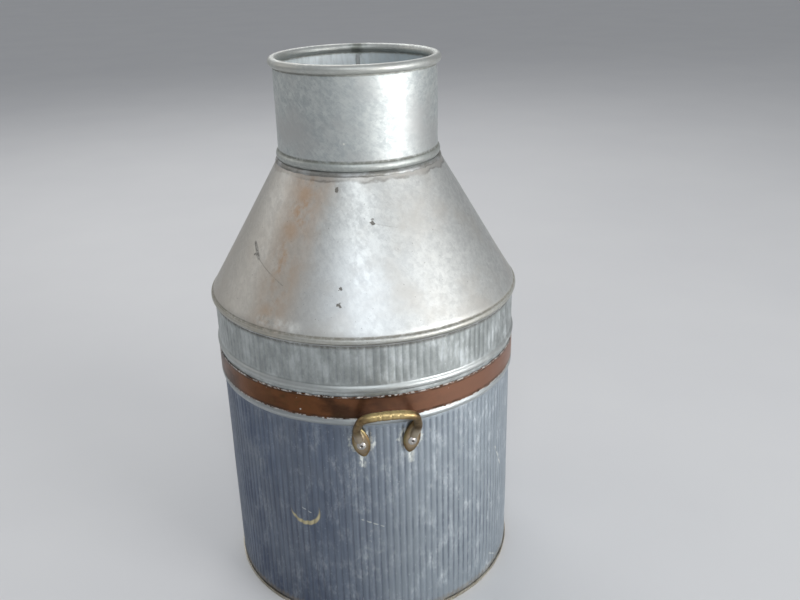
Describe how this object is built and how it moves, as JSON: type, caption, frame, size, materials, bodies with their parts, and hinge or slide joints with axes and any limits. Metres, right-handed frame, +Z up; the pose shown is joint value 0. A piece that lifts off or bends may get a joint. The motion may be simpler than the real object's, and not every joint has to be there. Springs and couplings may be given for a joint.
{
  "type": "galvanised milk can",
  "caption": "Open galvanised can with ribbed round body, cone shoulder, plain neck with rolled rim, copper strip and small riveted brass handles.",
  "frame": {"origin": "centre of the base ring, on the surface the can stands on", "axes": "+Z up along the can's axis to the open rim, -Y towards the front handle, +X to the right seen from the front"},
  "size_m": [0.2886, 0.329, 0.5],
  "materials": {
    "ribbed_sheet": "corrugated galvanised sheet, bluish grey with white oxide",
    "cone_sheet": "satin galvanised sheet with faint spangle and rust stains",
    "neck_sheet": "satin galvanised sheet with faint spangle",
    "floor_sheet": "galvanised sheet, stained along the rim",
    "copper": "dark brown patinated copper",
    "brass_casting": "aged cast brass",
    "solder": "dull grey solder",
    "wire": "drawn steel wire",
    "rivet_aluminium": "dull aluminium",
    "rivet_pin": "dark broken steel"
  },
  "bodies": {
    "root": {"base_pan": "floor_sheet", "base_seam_solder": "solder", "body_shell": "ribbed_sheet", "body_lock_seam": "ribbed_sheet", "copper_strip": "copper", "strip_lap_solder": "solder", "shoulder_cone": "cone_sheet", "shoulder_solder": "solder", "cone_seam_solder": "solder", "neck_tube": "neck_sheet", "rim_wire": "wire", "neck_joint_solder": "solder", "neck_seam_solder": "solder", "neck_inner_ridge": "solder", "front_handle": "brass_casting", "back_handle": "brass_casting", "front_rivet_shells": "rivet_aluminium", "back_rivet_shells": "rivet_aluminium", "front_rivet_pins": "rivet_pin", "back_rivet_pins": "rivet_pin"}
  },
  "joints": []
}
